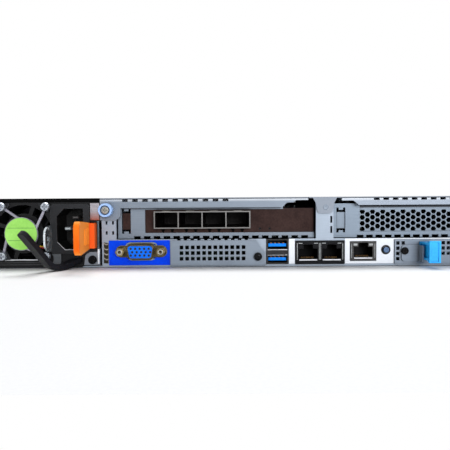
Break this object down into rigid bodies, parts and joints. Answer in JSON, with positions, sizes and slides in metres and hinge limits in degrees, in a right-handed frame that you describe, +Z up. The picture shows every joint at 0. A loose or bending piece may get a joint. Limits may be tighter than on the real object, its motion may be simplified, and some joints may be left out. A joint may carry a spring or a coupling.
{
  "type": "one-unit rack server",
  "caption": "Flat steel rack server: rear with power supply, riser slots and ports; sliding cover with lever, hot-swap drives, fans, pull-out module, rack ears.",
  "frame": {"origin": "centre of the chassis underside, on the surface it rests on", "axes": "+Z up, +Y from the rear face with the ports towards the drives at the front, +X to the right when the rear face is looked at"},
  "size_m": [0.4826, 0.7577, 0.043],
  "materials": {
    "chassis_tray": "zinc-plated sheet steel, satin",
    "rack_ear_left": "black powder coat",
    "rack_ear_right": "black powder coat",
    "front_bay_cover": "zinc-plated sheet steel, satin",
    "drive_cage": "zinc-plated sheet steel, satin",
    "drive_backplane": "glass-fibre circuit board, solder mask",
    "fan_bracket": "zinc-plated sheet steel, satin",
    "fan_frames": "moulded plastic",
    "system_board": "glass-fibre circuit board, solder mask",
    "cpu_heatsinks": "extruded",
    "memory_modules": "glass-fibre circuit board, solder mask",
    "riser_cage_left": "zinc-plated sheet steel, satin",
    "riser_cage_right": "zinc-plated sheet steel, satin",
    "riser_boards": "glass-fibre circuit board, solder mask",
    "riser_thumbscrews": "moulded light blue knob on a steel core",
    "network_card_board": "glass-fibre circuit board, solder mask",
    "network_card_bracket": "dark brown coat, satin",
    "sfp_cage": "nickel-plated, bright",
    "slot_filler": "zinc-plated sheet steel, satin",
    "vga_shell": "nickel-plated",
    "vga_insert": "moulded blue insulator",
    "vga_jackscrews": "nickel-plated",
    "lom_filler": "zinc-plated sheet steel, satin",
    "panel_screw": "black oxide",
    "usb_shell": "nickel-plated",
    "usb_tongues": "moulded blue insulator",
    "lan_jack_dual": "nickel-plated shield over a black body",
    "management_jack": "nickel-plated shield over a black body",
    "uid_button": "translucent blue cap",
    "power_button": "translucent cap",
    "module_panel": "zinc-plated sheet steel, satin",
    "module_handle": "moulded bright blue",
    "top_cover": "zinc-plated sheet steel, satin",
    "cover_latch": "moulded blue lever",
    "cover_gasket": "black foam strip",
    "psu_case": "dark sheet steel",
    "psu_fan_rotor": "moulded black",
    "psu_fan_guard": "plated wire",
    "psu_inlet": "moulded black",
    "psu_inlet_pins": "nickel-plated brass",
    "psu_latch": "moulded orange",
    "psu_tie_lug": "plated",
    "psu_strap": "moulded stiff nylon, dark",
    "psu_bay_blank": "dark sheet steel",
    "fan_rotor_1": "moulded plastic",
    "drive_tray_1": "moulded dark grey",
    "hard_drive_1": "cast, bare",
    "drive_handle_1": "moulded dark grey",
    "fan_rotor_2": "moulded plastic",
    "drive_tray_2": "moulded dark grey",
    "hard_drive_2": "cast, bare",
    "drive_handle_2": "moulded dark grey",
    "fan_rotor_3": "moulded plastic",
    "drive_tray_3": "moulded dark grey",
    "hard_drive_3": "cast, bare",
    "drive_handle_3": "moulded dark grey",
    "fan_rotor_4": "moulded plastic",
    "drive_tray_4": "moulded dark grey",
    "hard_drive_4": "cast, bare",
    "drive_handle_4": "moulded dark grey"
  },
  "bodies": {
    "chassis": {"chassis_tray": "chassis_tray", "rack_ear_left": "rack_ear_left", "rack_ear_right": "rack_ear_right", "front_bay_cover": "front_bay_cover", "drive_cage": "drive_cage", "drive_backplane": "drive_backplane", "fan_bracket": "fan_bracket", "fan_frames": "fan_frames", "system_board": "system_board", "cpu_heatsinks": "cpu_heatsinks", "memory_modules": "memory_modules", "riser_cage_left": "riser_cage_left", "riser_cage_right": "riser_cage_right", "riser_boards": "riser_boards", "riser_thumbscrews": "riser_thumbscrews", "network_card_board": "network_card_board", "network_card_bracket": "network_card_bracket", "sfp_cage": "sfp_cage", "slot_filler": "slot_filler", "vga_shell": "vga_shell", "vga_insert": "vga_insert", "vga_jackscrews": "vga_jackscrews", "lom_filler": "lom_filler", "panel_screw": "panel_screw", "usb_shell": "usb_shell", "usb_tongues": "usb_tongues", "lan_jack_dual": "lan_jack_dual", "management_jack": "management_jack", "psu_bay_blank": "psu_bay_blank"},
    "cover": {"top_cover": "top_cover", "cover_gasket": "cover_gasket"},
    "cover_lever": {"cover_latch": "cover_latch"},
    "power_supply": {"psu_case": "psu_case", "psu_fan_guard": "psu_fan_guard", "psu_inlet": "psu_inlet", "psu_inlet_pins": "psu_inlet_pins", "psu_tie_lug": "psu_tie_lug", "psu_strap": "psu_strap"},
    "psu_rotor": {"psu_fan_rotor": "psu_fan_rotor"},
    "psu_release": {"psu_latch": "psu_latch"},
    "uid": {"uid_button": "uid_button"},
    "power": {"power_button": "power_button"},
    "module": {"module_panel": "module_panel", "module_handle": "module_handle"},
    "fan_1": {"fan_rotor_1": "fan_rotor_1"},
    "drive_1": {"drive_tray_1": "drive_tray_1", "hard_drive_1": "hard_drive_1"},
    "handle_1": {"drive_handle_1": "drive_handle_1"},
    "fan_2": {"fan_rotor_2": "fan_rotor_2"},
    "drive_2": {"drive_tray_2": "drive_tray_2", "hard_drive_2": "hard_drive_2"},
    "handle_2": {"drive_handle_2": "drive_handle_2"},
    "fan_3": {"fan_rotor_3": "fan_rotor_3"},
    "drive_3": {"drive_tray_3": "drive_tray_3", "hard_drive_3": "hard_drive_3"},
    "handle_3": {"drive_handle_3": "drive_handle_3"},
    "fan_4": {"fan_rotor_4": "fan_rotor_4"},
    "drive_4": {"drive_tray_4": "drive_tray_4", "hard_drive_4": "hard_drive_4"},
    "handle_4": {"drive_handle_4": "drive_handle_4"}
  },
  "joints": [
    {"name": "cover_slide", "type": "slide", "parent": "chassis", "child": "cover", "axis": [0, -1, 0], "range_m": [0, 0.012]},
    {"name": "cover_latch_turn", "type": "hinge", "parent": "cover", "child": "cover_lever", "pos_m": [0, 0.076, 0.0404], "axis": [-1, 0, 0], "range_deg": [0, 75]},
    {"name": "power_supply_slide", "type": "slide", "parent": "chassis", "child": "power_supply", "axis": [0, -1, 0], "range_m": [0, 0.18]},
    {"name": "power_supply_fan", "type": "hinge", "parent": "power_supply", "child": "psu_rotor", "pos_m": [-0.1153, -0.345, 0.02135], "axis": [0, 1, 0], "continuous": true},
    {"name": "power_supply_latch", "type": "hinge", "parent": "power_supply", "child": "psu_release", "pos_m": [-0.0717, -0.346, 0.02], "axis": [0, 0, -1], "range_deg": [0, 4], "stiffness_Nm_per_rad": 0.2},
    {"name": "uid_press", "type": "slide", "parent": "chassis", "child": "uid", "axis": [0, 1, 0], "range_m": [0, 0.0008], "stiffness_N_per_m": 400},
    {"name": "power_press", "type": "slide", "parent": "chassis", "child": "power", "axis": [0, -1, 0], "range_m": [0, 0.001], "stiffness_N_per_m": 400},
    {"name": "module_slide", "type": "slide", "parent": "chassis", "child": "module", "axis": [0, -1, 0], "range_m": [0, 0.08]},
    {"name": "fan_1_turn", "type": "hinge", "parent": "chassis", "child": "fan_1", "pos_m": [-0.162, 0.1, 0.021], "axis": [0, 1, 0], "continuous": true},
    {"name": "drive_1_slide", "type": "slide", "parent": "chassis", "child": "drive_1", "axis": [0, 1, 0], "range_m": [0, 0.15]},
    {"name": "drive_1_handle", "type": "hinge", "parent": "drive_1", "child": "handle_1", "pos_m": [-0.2125, 0.3604, 0.0156], "axis": [0, 0, 1], "range_deg": [0, 60]},
    {"name": "fan_2_turn", "type": "hinge", "parent": "chassis", "child": "fan_2", "pos_m": [-0.054, 0.1, 0.021], "axis": [0, 1, 0], "continuous": true},
    {"name": "drive_2_slide", "type": "slide", "parent": "chassis", "child": "drive_2", "axis": [0, 1, 0], "range_m": [0, 0.15]},
    {"name": "drive_2_handle", "type": "hinge", "parent": "drive_2", "child": "handle_2", "pos_m": [-0.10425, 0.3604, 0.0156], "axis": [0, 0, 1], "range_deg": [0, 60]},
    {"name": "fan_3_turn", "type": "hinge", "parent": "chassis", "child": "fan_3", "pos_m": [0.054, 0.1, 0.021], "axis": [0, 1, 0], "continuous": true},
    {"name": "drive_3_slide", "type": "slide", "parent": "chassis", "child": "drive_3", "axis": [0, 1, 0], "range_m": [0, 0.15]},
    {"name": "drive_3_handle", "type": "hinge", "parent": "drive_3", "child": "handle_3", "pos_m": [0.004, 0.3604, 0.0156], "axis": [0, 0, 1], "range_deg": [0, 60]},
    {"name": "fan_4_turn", "type": "hinge", "parent": "chassis", "child": "fan_4", "pos_m": [0.162, 0.1, 0.021], "axis": [0, 1, 0], "continuous": true},
    {"name": "drive_4_slide", "type": "slide", "parent": "chassis", "child": "drive_4", "axis": [0, 1, 0], "range_m": [0, 0.15]},
    {"name": "drive_4_handle", "type": "hinge", "parent": "drive_4", "child": "handle_4", "pos_m": [0.11225, 0.3604, 0.0156], "axis": [0, 0, 1], "range_deg": [0, 60]}
  ],
  "couplings": [
    {"joint": "cover_latch_turn", "follows": "cover_slide", "rad_per_m": 109}
  ]
}
